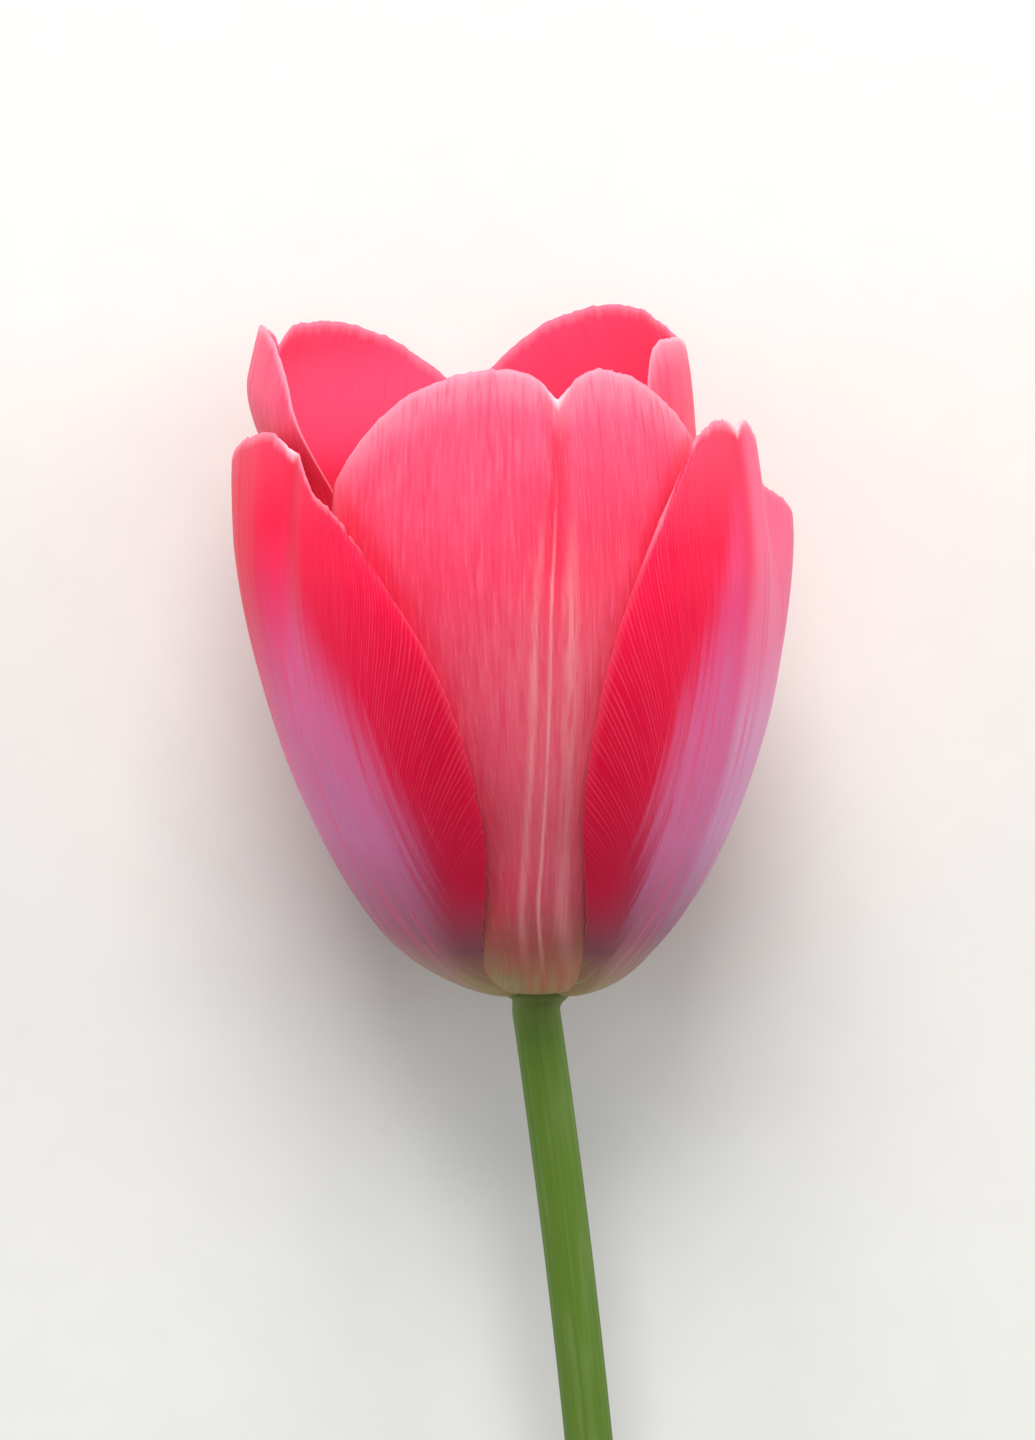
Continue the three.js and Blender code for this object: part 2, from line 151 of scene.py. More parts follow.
# Stamens and pistil. The fine pieces bridge the gaps between the solids, so that no gap shows. The
# bluntness is the power by which a body closes towards its two ends, and end keeps it from closing fully.
BASE_Y = KNOB_TOP + SEAT_GAP
STAMEN_COUNT = 6
STAMEN_FIRST_AZIMUTH = 4
STAMEN_SEAT_RADIUS = 3.5
STAMEN_SEAT_LIFT = 0.15
FILAMENT = {"rows": 40, "sides": 24, "length": 9, "lean": 13, "radius": 0.95, "taper": 0.5, "sink": 0.6,
            "bluntness": 0.12, "end": 0.002}
ANTHER = {"rows": 60, "sides": 40, "length": 13, "lean": 8, "radius": 1.1, "breadth": 1.3,
          "bluntness": 0.32, "end": 0.001}
ANTHER_LOBES = {"count": 4, "depth": 0.12}
OVARY = {"rows": 80, "sides": 72, "length": 20, "radius": 2.1, "belly": 0.75, "belly_power": 0.8,
         "taper": 0.3, "sink": 0.4, "bluntness": 0.08, "end": 0.001}
OVARY_LOBES = {"count": 3, "depth": 0.08}
STIGMA = {"rows": 50, "sides": 96, "height": 3.4, "radius": 1.9, "crest": 2.1, "crest_power": 1.5,
          "sink": 0.5}
STIGMA_LOBES = {"count": 3, "depth": 0.26}

# In half turns: how far the sine of the stigma's heights goes, and where that of its crest starts and how
# far it goes. At the top the radius closes as the root of the end less a power of the way up.
STIGMA_ARC = 0.62
STIGMA_CREST_START = 0.1
STIGMA_CREST_SPAN = 0.75
STIGMA_TOP_POWER = 4
STIGMA_TOP_END = 1.02
STIGMA_LEAST = 0.01

# The photograph: its size and scale, the petals' foot in it, and how far it looks down on the bloom.
PHOTO_WIDTH = 1035
PHOTO_HEIGHT = 1440
PIXELS_PER_MM = 8.0
FOOT_PIXEL = (537, 989)
LOOK_DOWN = math.radians(12)
CAMERA_DISTANCE = 2.0
SENSOR_WIDTH = 36

# The table and the lights, in metres and watts.
TABLE_HALF = 1.6
TABLE_GRAINS_PER_METRE = 140.0
LIGHTS_AIM = (0, 0, 0.03)
DAYLIGHT = (1.0, 0.985, 0.96)
WHITE_LIGHT = (1.0, 1.0, 1.0)
COOL_LIGHT = (0.97, 0.98, 1.0)
SKY_COLOUR = (0.93, 0.96, 1.0, 1.0)
SKY_STRENGTH = 0.22
LIGHTS = [
    {"name": "key_box", "place": (-0.05, 0.8, 0.8), "width": 0.6, "watts": 12, "colour": DAYLIGHT},
    {"name": "overhead_box", "place": (0.1, 0.25, 1.3), "width": 1.0, "watts": 4.2, "colour": WHITE_LIGHT},
    {"name": "left_box", "place": (-0.9, 0.2, 0.4), "width": 0.7, "watts": 2.7, "colour": COOL_LIGHT},
    {"name": "right_box", "place": (0.75, 0.3, 0.4), "width": 0.6, "watts": 2.8, "colour": DAYLIGHT},
]


def side(foot, low, wide, corner, drop, power, tuck=1.5, curl=0):
    """One side of a petal: half angles in degrees at its foot, low down, at its widest and at its top
    corner, how far the rim drops to that corner and by what power, how far the margin tucks in and curls in
    at the top."""
    return {"foot": foot, "low": low, "wide": wide, "corner": corner,
            "drop": drop, "power": power, "tuck": tuck, "curl": curl}


PETALS = [
    {
        "name": "petal_outer_left", "azimuth": -55.5, "inner": False, "height": 78.8, "widest": 0.58,
        "left": side(foot=40, low=41, wide=44, corner=30, drop=10.8, power=0.9, tuck=1.3, curl=-1.6),
        "right": side(foot=30, low=34, wide=45.5, corner=22, drop=18.3, power=0.95),
        "notch": {"depth": 5.7, "width": 4.3},
        "waves": [{"centre": -7.2, "width": 9.3, "depth": 1.3}, {"centre": 9.3, "width": 4.2, "depth": 2}],
        "fold": {"centre": 0, "width": 5, "depth": -1.8, "start": 0.42, "end": 0.9},
        "leans": [{"by": 0.3, "start": 0.3, "end": 1}],
    },
    {
        "name": "petal_outer_right", "azimuth": 55.5, "inner": False, "height": 76.8, "widest": 0.62,
        "left": side(foot=27, low=29, wide=41, corner=13.8, drop=4.9, power=3.9, tuck=1.2),
        "right": side(foot=42, low=39, wide=38.5, corner=31.7, drop=15.6, power=1.65, tuck=1.2, curl=-1.5),
        "notch": {"depth": 1.5, "width": 2.7},
        "waves": [{"centre": 7.2, "width": 2, "depth": 0.7}, {"centre": 18.6, "width": 9.4, "depth": 3.2}],
        "fold": {"centre": 19, "width": 8, "depth": -3.2, "start": 0.45, "end": 0.95},
        "leans": [{"by": -0.9, "start": 0.3, "end": 1}],
    },
    {
        "name": "petal_outer_back", "azimuth": 180, "inner": False, "height": 71, "widest": 0.42,
        "left": side(foot=42, low=40, wide=43, corner=22, drop=6.5, power=3.5),
        "right": side(foot=42, low=42, wide=46, corner=26, drop=6, power=4),
        "notch": {"depth": 1, "width": 3},
        "waves": [],
        "fold": {"centre": 0, "width": 6, "depth": -1.4, "start": 0.7, "end": 1},
        "leans": [{"by": 1.1, "start": 0.3, "end": 1}],
    },
    {
        "name": "petal_inner_front", "azimuth": 11, "inner": True, "height": 85.3, "widest": 0.75,
        "left": side(foot=43, low=46, wide=59.5, corner=59, drop=17.2, power=3.1),
        "right": side(foot=27, low=30, wide=38, corner=37.5, drop=11.2, power=2.6),
        "notch": {"depth": 4, "width": 5.3},
        "waves": [],
        "fold": {"centre": 0, "width": 5, "depth": -1.3, "start": 0.5, "end": 1},
        "leans": [],
    },
    {
        "name": "petal_inner_left", "azimuth": -115, "inner": True, "height": 86.6, "widest": 1.1,
        "left": side(foot=42, low=44, wide=51, corner=50.5, drop=14.3, power=1.7, curl=3.4),
        "right": side(foot=46, low=48, wide=68, corner=67.5, drop=29, power=5, curl=2.6),
        "notch": {"depth": 2.2, "width": 3.5},
        "waves": [{"centre": -0.6, "width": 26, "depth": 4.9}],
        "fold": {"centre": 0, "width": 13, "depth": -0.7, "start": 0.5, "end": 1},
        "leans": [{"by": -3.3, "start": 0.3, "end": 1}, {"by": 6.2, "start": 0.72, "end": 0.9}],
    },
    {
        "name": "petal_inner_right", "azimuth": 117.5, "inner": True, "height": 87.2, "widest": 1.1,
        "left": side(foot=46, low=48, wide=70, corner=66.8, drop=5.7, power=20, tuck=0.6),
        "right": side(foot=42, low=46, wide=70, corner=77, drop=12.8, power=3.1),
        "notch": {"depth": 0.3, "width": 3},
        "waves": [{"centre": -21.5, "width": 16, "depth": 2.9}],
        "fold": {"centre": 0, "width": 16, "depth": -1, "start": 0.6, "end": 1},
        "leans": [{"by": -9, "start": 0.36, "end": 0.76}, {"by": 1.4, "start": 0.78, "end": 1}],
    },
]


def tint(red, green, blue):
    """A colour given as the eye's 0 to 255, as the linear numbers that shaders take."""
    parts = [part / 255 for part in (red, green, blue)]
    linear = [part / 12.92 if part <= 0.04045 else ((part + 0.055) / 1.055) ** 2.4 for part in parts]
    return (*linear, 1.0)


# White of the top rim: partly the margin's own paleness and partly a painted highlight.
RIM_WHITE_AND_HIGHLIGHT = tint(255, 226, 234)
RIM_PINK = tint(255, 158, 180)
VEIN_PINK = tint(255, 96, 124)
# Deep red: the dark veins' colour, and low by the outer petals' margins partly painted shade.
DEEP_RED = tint(216, 0, 52)
GROOVE_RED = tint(246, 24, 66)
STROKE_ROSE = tint(228, 48, 92)
STRIPE_CREAM = tint(246, 168, 168)
CENTRE_SALMON = tint(240, 118, 134)
FLAME_PINK = tint(244, 84, 136)
# Blue of the flame's threads: partly their own colour and partly a painted sheen of the sky.
FLAME_BLUE_AND_SKY_SHEEN = tint(188, 146, 208)
FOOT_TAN = tint(190, 160, 106)
FOOT_GREEN = tint(184, 184, 112)
STEM_GREEN = tint(70, 104, 6)
STEM_LIGHT = tint(98, 132, 26)
STEM_WAX = tint(120, 146, 84)
NECK_OLIVE = tint(120, 128, 60)
CUT_PALE = tint(206, 218, 160)
CUT_GREEN = tint(158, 182, 104)

# Runs of colour up a petal, from its foot at 0 to its rim at 1: an outer petal's, its violet flame's, those
# of the flap on the right one, an inner petal's, and the one inside the bloom. On the outside, the stops from
# about 0.1 to 0.25 are darker: partly the duller colour low on a petal, and partly painted shade, as the
# lower bloom lies in shade.
OUTER_REDS = [
    (0.0, FOOT_TAN), (0.05, tint(176, 132, 98)), (0.11, tint(150, 82, 98)), (0.24, tint(186, 40, 84)),
    (0.42, tint(232, 6, 66)), (0.8, tint(252, 18, 72)), (1.0, tint(253, 72, 104)),
]
FLAME_LILACS = [
    (0.0, FOOT_TAN), (0.05, tint(180, 140, 110)), (0.13, tint(180, 98, 120)), (0.3, tint(222, 124, 174)),
    (0.5, tint(232, 108, 162)), (0.68, tint(238, 74, 134)), (1.0, tint(250, 60, 104)),
]
FLAP_PINKS = [
    (0.0, FOOT_TAN), (0.045, tint(176, 138, 116)), (0.13, tint(166, 106, 134)), (0.3, tint(222, 158, 202)),
    (0.48, tint(232, 160, 204)), (0.6, tint(246, 124, 168)), (0.8, tint(255, 112, 150)),
    (1.0, tint(255, 104, 138)),
]
INNER_SALMONS = [
    (0.0, FOOT_TAN), (0.055, tint(182, 148, 100)), (0.12, tint(164, 104, 88)), (0.22, tint(184, 60, 82)),
    (0.42, tint(232, 66, 98)), (0.7, tint(248, 70, 106)), (1.0, tint(252, 98, 132)),
]
LINING_PINKS = [
    (0.0, tint(206, 208, 120)), (0.08, tint(242, 228, 156)), (0.16, tint(248, 206, 182)),
    (0.3, tint(246, 90, 124)), (0.6, tint(255, 58, 102)), (1.0, tint(255, 80, 120)),
]


def grain(over, cycles, offset, detail=2.0, roughness=0.6):
    """A noise over two fields of a petal's skin, with so many cycles in one unit of each. Each grain has an
    offset of its own, so that no two are alike."""
    return {"over": over, "cycles": cycles, "offset": offset, "detail": detail, "roughness": roughness}


def layer(colour, strength, *bands, varied=None):
    """A layer of colour over what is under it. Each band is a field, where the layer begins in it and where
    it is full, and they multiply. varied is a grain and how much it adds to the strength where it is 1."""
    return {"colour": colour, "strength": strength, "bands": bands, "varied": varied}


# Grains over the distance from the midrib run lengthwise, and those over the feather follow the veins.
# RELIEF is how much some of them raise the surface, against each other.
GRAINS = {
    "clouds": grain(over=("wide", "run"), cycles=(0.1, 0.05), offset=0.0, roughness=0.5),
    "lengths": grain(over=("wide", "run"), cycles=(1.2, 0.03), offset=0.3, detail=3.0),
    "threads": grain(over=("wide", "run"), cycles=(3.0, 0.06), offset=0.4),
    "fan": grain(over=("feather", "run"), cycles=(0.7, 0.035), offset=0.5, roughness=0.55),
    "fibres": grain(over=("across", "run"), cycles=(90.0, 0.2), offset=0.6),
    "hairs": grain(over=("feather", "run"), cycles=(1.8, 0.12), offset=0.7),
    "strokes": grain(over=("across", "run"), cycles=(34.0, 0.11), offset=0.8),
    "patches": grain(over=("feather", "wide"), cycles=(0.2, 0.08), offset=0.9, detail=1.0, roughness=0.5),
}
RELIEF = {"hairs": 0.5, "fan": 0.7, "lengths": 0.4, "fibres": 0.4}

# An outer petal's face: deep red beside the flame, stronger low down towards the margins, partly the margins'
# own deeper red and partly painted shade near where the petals overlap; then its side veins, light and dark.
VEIN_BANDS = [("beside", 0.15, 0.45), ("rise", 0.15, 0.5), ("hairs", 0.3, 0.7)]
OUTER_LAYERS = [
    layer(DEEP_RED, 0.5, ("beside", 0.45, 0.85), ("rise", 0.75, 0.4), ("rise", 0.1, 0.25),
          varied=("clouds", 0.6)),
    layer(VEIN_PINK, 0.34, ("vein", 0.0, 1.0), *VEIN_BANDS),
    layer(DEEP_RED, 0.46, ("vein", 0.0, -1.0), *VEIN_BANDS),
]
# In the flame: pink lengths, blue threads that are partly the flame's own streaks and partly a painted bluish
# sheen of the sky, and pale threads.
FLAME_LAYERS = [
    layer(FLAME_PINK, 0.6, ("lengths", 0.52, 0.7)),
    layer(FLAME_BLUE_AND_SKY_SHEEN, 0.6, ("threads", 0.5, 0.75), ("rise", 0.72, 0.45)),
    layer(RIM_PINK, 0.12, ("fibres", 0.5, 0.72)),
]
# Over the flame: the outer petal's pale margin, and the red of its midrib near the rim.
OVER_FLAME_LAYERS = [
    layer(VEIN_PINK, 0.22, ("edge", 1.6, 0.2), ("rise", 0.3, 0.6)),
    layer(GROOVE_RED, 0.6, ("off_midrib", 2.6, 0.0), ("rise", 0.6, 0.8)),
]
# An inner petal's face: red towards the sides and in clouds, the pale salmon middle, and the red groove
# above it. The stripes come next, then the rose threads low down, the pale margin and the fine strokes.
INNER_LOW_LAYERS = [
    layer(GROOVE_RED, 0.6, ("beside", 0.55, 0.95), ("rise", 0.85, 0.6)),
    layer(GROOVE_RED, 0.35, ("clouds", 0.4, 0.7), ("rise", 1.0, 0.75)),
    layer(CENTRE_SALMON, 0.3, ("beside", 0.62, 0.05), ("rise", 0.8, 0.5), ("rise", 0.1, 0.26),
          varied=("lengths", 0.6)),
    layer(GROOVE_RED, 0.65, ("off_stripe", 2.8, 0.3), ("rise", 0.55, 0.8)),
]
THREAD_LAYERS = [layer(STROKE_ROSE, 0.4, ("threads", 0.5, 0.75), ("rise", 0.8, 0.5), ("rise", 0.08, 0.2))]
STROKE_LAYERS = [
    layer(STROKE_ROSE, 0.4, ("strokes", 0.5, 0.68), ("rise", 0.2, 0.5)),
    layer(RIM_PINK, 0.13, ("fibres", 0.5, 0.72)),
    layer(STROKE_ROSE, 0.3, ("fibres", 0.5, 0.3), ("rise", 0.08, 0.2)),
]
# Every petal's green foot, its pink rim and its white rim, which is partly the margin's own paleness and
# partly a painted highlight, and dark hairs and the pink rim inside the bloom.
FOOT_AND_RIM_LAYERS = [
    layer(FOOT_GREEN, 0.6, ("lengths", 0.48, 0.6), ("rise", 0.11, 0.02)),
    layer(RIM_PINK, 0.55, ("ragged_edge", 1.7, 0.2), ("rise", 0.72, 0.92)),
    layer(RIM_WHITE_AND_HIGHLIGHT, 0.65, ("white_rim_and_highlight", 1.8, 0.1), ("rise", 0.72, 0.92)),
]
LINING_LAYERS = [
    layer(GROOVE_RED, 0.2, ("hairs", 0.45, 0.7), ("rise", 0.2, 0.4)),
    layer(RIM_PINK, 0.45, ("ragged_edge", 1.7, 0.2), ("rise", 0.72, 0.92)),
]
# On the stem: pale wax in clouds, and the olive neck under the bloom.
STEM_LAYERS = [
    layer(STEM_WAX, 0.5, ("clouds", 0.45, 0.75)),
    layer(NECK_OLIVE, 0.6, ("below", 6.0, 0.0)),
]
# Grains of the stem: noises with so many cycles in its radius, and in one millimetre down it.
STEM_GRAINS = {
    "lines": {"round": 9.0, "down": 0.05, "offset": 0.0, "detail": 3.0, "roughness": 0.6},
    "clouds": {"round": 1.2, "down": 0.05, "offset": 7.0, "detail": 3.0, "roughness": 0.5},
    "specks": {"round": 9.0, "down": 3.0, "offset": 0.0, "detail": 2.0, "roughness": 0.5},
}

# Pale stripes low on an inner petal, by distance from the middle one and half width. The middle one swings
# this far from the midrib at mid height. All are ragged by this much, and stronger where lengths is high.
STRIPES = [
    {"centre": -2.0, "half": 0.8, "strength": 0.5},
    {"centre": 0.0, "half": 0.4, "strength": 0.9},
    {"centre": 2.9, "half": 1.5, "strength": 0.5},
]
STRIPE_SWING = 2.4
STRIPE_RAGGED = 0.5
STRIPE_LEAST = 0.5
STRIPE_GAIN = 0.8
STRIPE_BANDS = [("rise", 0.85, 0.6), ("rise", 0.02, 0.2)]
PALE_MARGIN_RUNS = {"petal_inner_front": 6.0, "petal_inner_left": 1.2, "petal_inner_right": 4.0}

# How ragged the pink rim is, and how fast the white one, partly a painted highlight, fades away from the
# midrib.
RIM_RAGGED = 1.6
WHITE_FADE = 0.4
WHITE_FADES = {"petal_inner_right": 0.06}

# The violet flame along each outer petal's midrib, for its left and its right side: how high it reaches as
# a share of the petal's height, its half width as a share of the petal's, its softness and its colours.
FLAMES = {
    "petal_outer_left": {
        "reach": (0.72, 0.74), "half": (1.0, 0.62), "soft": (0.5, 0.2), "runs": (FLAME_LILACS, FLAME_LILACS)},
    "petal_outer_right": {
        "reach": (1.0, 1.8), "half": (0.55, 1.5), "soft": (0.12, 0.5), "runs": (FLAME_LILACS, FLAP_PINKS)},
    "petal_outer_back": {
        "reach": (0.86, 0.86), "half": (0.6, 0.55), "soft": (0.2, 0.2), "runs": (FLAME_LILACS, FLAME_LILACS)},
}
FLAME_TAPER = 2.2
FLAME_RAGGED = 0.5
FLAME_LEAST = 0.75
FLAME_GAIN = 0.3
FLAME_STREAKS = {"lengths": 0.6, "threads": 0.4}
MIDRIB_BLEND = 0.06


def smooth(start, end, x):
    """0 below start, 1 above end, and an easy S between them."""
    t = np.clip((x - start) / (end - start), 0, 1)
    return t * t * (3 - 2 * t)


def uneven(seed, wave, x):
    """A smooth uneven wave about 0: sines of falling wavelength and weight, each with a random phase of its
    own, over the sum of their weights and times the wave's depth."""
    order = np.arange(wave["count"])
    phases = np.random.default_rng(seed).uniform(0, 2 * math.pi, wave["count"])
    weights = NEXT_WEIGHT**order
    sines = np.sin(2 * math.pi * x[..., None] * NEXT_FREQUENCY**order / wave["longest"] + phases)
    return wave["depth"] * (weights * sines).sum(-1) / weights.sum()


def unit(vectors):
    """Vectors made 1 long."""
    return vectors / np.linalg.norm(vectors, axis=-1, keepdims=True)


def to_row(points):
    """Bloom millimetres to row metres: a turn by TILT about x, then a shift."""
    x, y, z = points[..., 0], points[..., 1], points[..., 2]
    along = y * math.cos(TILT) - z * math.sin(TILT) + FOOT_Y
    up = y * math.sin(TILT) + z * math.cos(TILT) + FOOT_HEIGHT
    return np.stack([x - REST_X, along, up], -1) * MILLIMETRE


def table_z(y):
    """The table's height in the bloom's frame at height y on the axis."""
    return (-FOOT_HEIGHT - y * math.sin(TILT)) / math.cos(TILT)


def make_piece(name, points, faces, finish, node, fields):
    """A closed mesh from bloom points and a list of faces, with one number per point for each field that
    its finish reads. It takes a solid's place."""
    mesh = bpy.data.meshes.new(name)
    mesh.from_pydata(to_row(points).reshape(-1, 3).tolist(), [], faces)
    for field, values in fields.items():
        attribute = mesh.attributes.new(field, "FLOAT", "POINT")
        attribute.data.foreach_set("value", np.asarray(values, np.float32).ravel())
    mesh.polygons.foreach_set("use_smooth", np.ones(len(mesh.polygons), bool))
    mesh.materials.append(finish)
    mesh.validate()
    mesh.update()
    piece = bpy.data.objects.new(name, mesh)
    bpy.context.scene.collection.objects.link(piece)
    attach(piece, "root")
    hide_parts(node)


class Field:
    """A socket in a finish's node tree. Arithmetic on it adds Math nodes there."""

    def __init__(self, finish, socket):
        self.finish = finish
        self.socket = socket

    def math(self, operation, *values):
        return self.finish.node("ShaderNodeMath", {"operation": operation}, dict(enumerate(values)))

    def __add__(self, other):
        return self.math("ADD", self, other)

    def __radd__(self, other):
        return self.math("ADD", other, self)

    def __sub__(self, other):
        return self.math("SUBTRACT", self, other)

    def __rsub__(self, other):
        return self.math("SUBTRACT", other, self)

    def __mul__(self, other):
        return self.math("MULTIPLY", self, other)

    def __rmul__(self, other):
        return self.math("MULTIPLY", other, self)

    def __truediv__(self, other):
        return self.math("DIVIDE", self, other)

    def __pow__(self, other):
        return self.math("POWER", self, other)

    def __abs__(self):
        return self.math("ABSOLUTE", self)

    def sine(self):
        return self.math("SINE", self)

    def cosine(self):
        return self.math("COSINE", self)


class Finish:
    """A procedural material. node() adds any node from its type, its settings and its sockets' inputs."""

    def __init__(self, name):
        self.material = bpy.data.materials.new(name)
        self.material.use_nodes = True
        self.tree = self.material.node_tree
        self.tree.nodes.clear()

    def node(self, kind, settings, sockets, out=0):
        made = self.tree.nodes.new(kind)
        for key, value in settings.items():
            if key == "stops":
                self.set_stops(made.color_ramp, value)
            else:
                setattr(made, key, value)
        for key, value in sockets.items():
            if isinstance(value, Field):
                self.tree.links.new(value.socket, made.inputs[key])
            else:
                made.inputs[key].default_value = value
        return Field(self, made.outputs[out]) if made.outputs else None

    def set_stops(self, ramp, stops):
        while len(ramp.elements) < len(stops):
            ramp.elements.new(1.0)
        for element, (position, colour) in zip(ramp.elements, stops):
            element.position = position
            element.color = colour

    def attribute(self, name):
        return self.node("ShaderNodeAttribute", {"attribute_name": name}, {}, out="Fac")

    def place(self):
        return self.node("ShaderNodeTexCoord", {}, {}, out="Object")

    def vector(self, x, y, z):
        return self.node("ShaderNodeCombineXYZ", {}, {0: x, 1: y, 2: z})

    def noise(self, place, detail, roughness=0.5, scale=1.0):
        sockets = {"Vector": place, "Scale": scale, "Detail": detail, "Roughness": roughness}
        return self.node("ShaderNodeTexNoise", {}, sockets, out="Fac")

    def ease(self, value, start, end):
        """0 at start and 1 at end, with an easy S between them. start may be the larger number."""
        sockets = {"Value": value, "From Min": start, "From Max": end}
        return self.node("ShaderNodeMapRange", {"interpolation_type": "SMOOTHSTEP"}, sockets)

    def ramp(self, value, stops):
        return self.node("ShaderNodeValToRGB", {"stops": stops}, {0: value})

    def mix(self, share, first, second):
        return self.node("ShaderNodeMix", {"data_type": "RGBA"}, {0: share, 6: first, 7: second}, out=2)

    def painted(self, fields, base, layers):
        """A base colour with layers over it, one after another."""
        for coat in layers:
            share = coat["strength"]
            if coat["varied"]:
                field, gain = coat["varied"]
                share = share + fields[field] * gain
            for field, start, full in coat["bands"]:
                share = share * self.ease(fields[field], start, full)
            base = self.mix(share, base, coat["colour"])
        return base

    def bump(self, height, distance):
        """A bump of so many millimetres."""
        return self.node("ShaderNodeBump", {}, {"Height": height, "Distance": distance * MILLIMETRE})

    def close(self, **sockets):
        """The Principled shader and the output. Underscores in a socket's name stand for spaces."""
        named = {key.replace("_", " "): value for key, value in sockets.items()}
        shader = self.node("ShaderNodeBsdfPrincipled", {}, named)
        self.node("ShaderNodeOutputMaterial", {}, {"Surface": shader})
        return self.material


def petal_point(petal, u, v, jag):
    """Middle surface of a petal. The angle from the midrib is v times the half angle at u. The height is
    the rim's height there times u to a power. The point lies on the cup at that height and angle, moved out
    or in by the tuck, the layer, the fold and the lean. jag is the rim's unevenness in millimetres."""
    left = v < 0

    def of_side(key):
        return np.where(left, petal["left"][key], petal["right"][key])

    low = of_side("foot") + (of_side("low") - of_side("foot")) * smooth(0, FOOT_SPREAD_END, u)
    swell = low + (of_side("wide") - of_side("low")) * smooth(WIDENING_START, petal["widest"], u)
    closing = 1 - (of_side("corner") / of_side("wide")) ** (1 / CLOSE_ROUND)
    turn = v * swell * (1 - closing * u**CLOSE_POWER) ** CLOSE_ROUND
    rim_turn = v * of_side("corner")
    notch = petal["notch"]
    rim = petal["height"] - of_side("drop") * np.abs(v) ** of_side("power") + jag
    rim -= notch["depth"] * np.exp(-np.abs(rim_turn / notch["width"]) ** NOTCH_POWER)
    for wave in petal["waves"]:
        rim -= wave["depth"] * bell(rim_turn, wave)
    y = FOOT_LIFT + (rim - FOOT_LIFT) * u**RISE_POWER
    t = y / petal["height"]
    out = -v * v * (of_side("tuck") * smooth(0, TUCK_END, t) + of_side("curl") * smooth(CURL_START, 1, t))
    if petal["inner"]:
        out -= LAYER_FOOT + LAYER_BELLY * smooth(LAYER_START, LAYER_END, t)
    fold = petal["fold"]
    out += fold["depth"] * bell(turn, fold) * smooth(fold["start"], fold["end"], t)
    for lean in petal["leans"]:
        out += lean["by"] * smooth(lean["start"], lean["end"], t)
    radial, axial = cup_normal(y)
    radius = cup_radius(y) + radial * out
    height = y + axial * out
    azimuth = np.radians(petal["azimuth"] + turn)
    return np.stack([radius * np.sin(azimuth) + axis_x(height), height, radius * np.cos(azimuth)], -1)


def bell(x, spot):
    """A bell curve, 1 at the spot's centre and about a third at its width from there."""
    return np.exp(-(((x - spot["centre"]) / spot["width"]) ** 2))


def cup_radius(y):
    """Radius of the cup at height y: a power curve up to the belly, then a slow taper to the mouth."""
    climbed = (y - FOOT_LIFT) / (BELLY_HEIGHT - FOOT_LIFT)
    filled = 1 - np.clip(1 - climbed, 0, 1) ** BOWL_POWER
    bowl = FOOT_RADIUS + (BELLY_RADIUS - FOOT_RADIUS) * np.clip(filled, 0, 1) ** BOWL_ROUND
    return bowl - MOUTH_TAPER * np.clip(y - BELLY_HEIGHT, 0, None) ** 2


def cup_normal(y):
    """Outward normal of the cup at height y, as its parts along the radius and along the axis."""
    step = 0.02
    low = np.clip(y - step, FOOT_LIFT, None)
    slope = (cup_radius(y + step) - cup_radius(low)) / (y + step - low)
    length = np.hypot(1, slope)
    return 1 / length, -slope / length


def axis_x(y):
    """Sideways place of the bloom's leaning axis at height y."""
    return LOW_SHIFT * smooth(0, SHIFT_HEIGHT, y) + AXIS_LEAN * y


def travelled(points, axis):
    """Distance walked over a grid of points along one of its axes, from its first row."""
    steps = np.linalg.norm(np.diff(points, axis=axis), axis=-1)
    start = np.zeros_like(np.take(steps, [0], axis=axis))
    return np.concatenate([start, np.cumsum(steps, axis=axis)], axis=axis)


def shell_faces(rows, columns):
    """Quads of a closed blade: an outer grid, an inner one turned over, and a strip round the margin."""
    index = np.arange(rows * columns).reshape(rows, columns)
    a, b = index[:-1, :-1].ravel(), index[:-1, 1:].ravel()
    c, d = index[1:, 1:].ravel(), index[1:, :-1].ravel()
    inner = rows * columns
    edge = np.concatenate([index[0, :-1], index[:-1, -1], index[-1, :0:-1], index[:0:-1, 0]])
    ahead = np.roll(edge, -1)
    strip = np.stack([edge, edge + inner, ahead + inner, ahead], -1)
    return np.concatenate([np.stack([a, b, c, d], -1), np.stack([a, d, c, b], -1) + inner, strip]).tolist()


def petal_grid(seed):
    """Parameters of a fine petal: u up it and v across it, with small nicks in its sides, and how far its
    rim is uneven, in millimetres."""
    up = np.linspace(0, 1, PETAL_ROWS + 1) ** ROW_CROWDING
    u, v = np.meshgrid(up, np.linspace(-1, 1, PETAL_COLUMNS + 1), indexing="ij")
    rim = uneven(seed, RIM_WAVES, v * RIM_HALF_WIDTH) + uneven(seed + 4, RIM_TEETH, v * RIM_HALF_WIDTH)
    nicks = uneven(seed + 5, SIDE_NICKS, u * SIDE_LENGTH) * smooth(SIDE_NICKS_START, 1, np.abs(v))
    return u, v * (1 + nicks), rim * smooth(RIM_WAVES_START, 1, u)


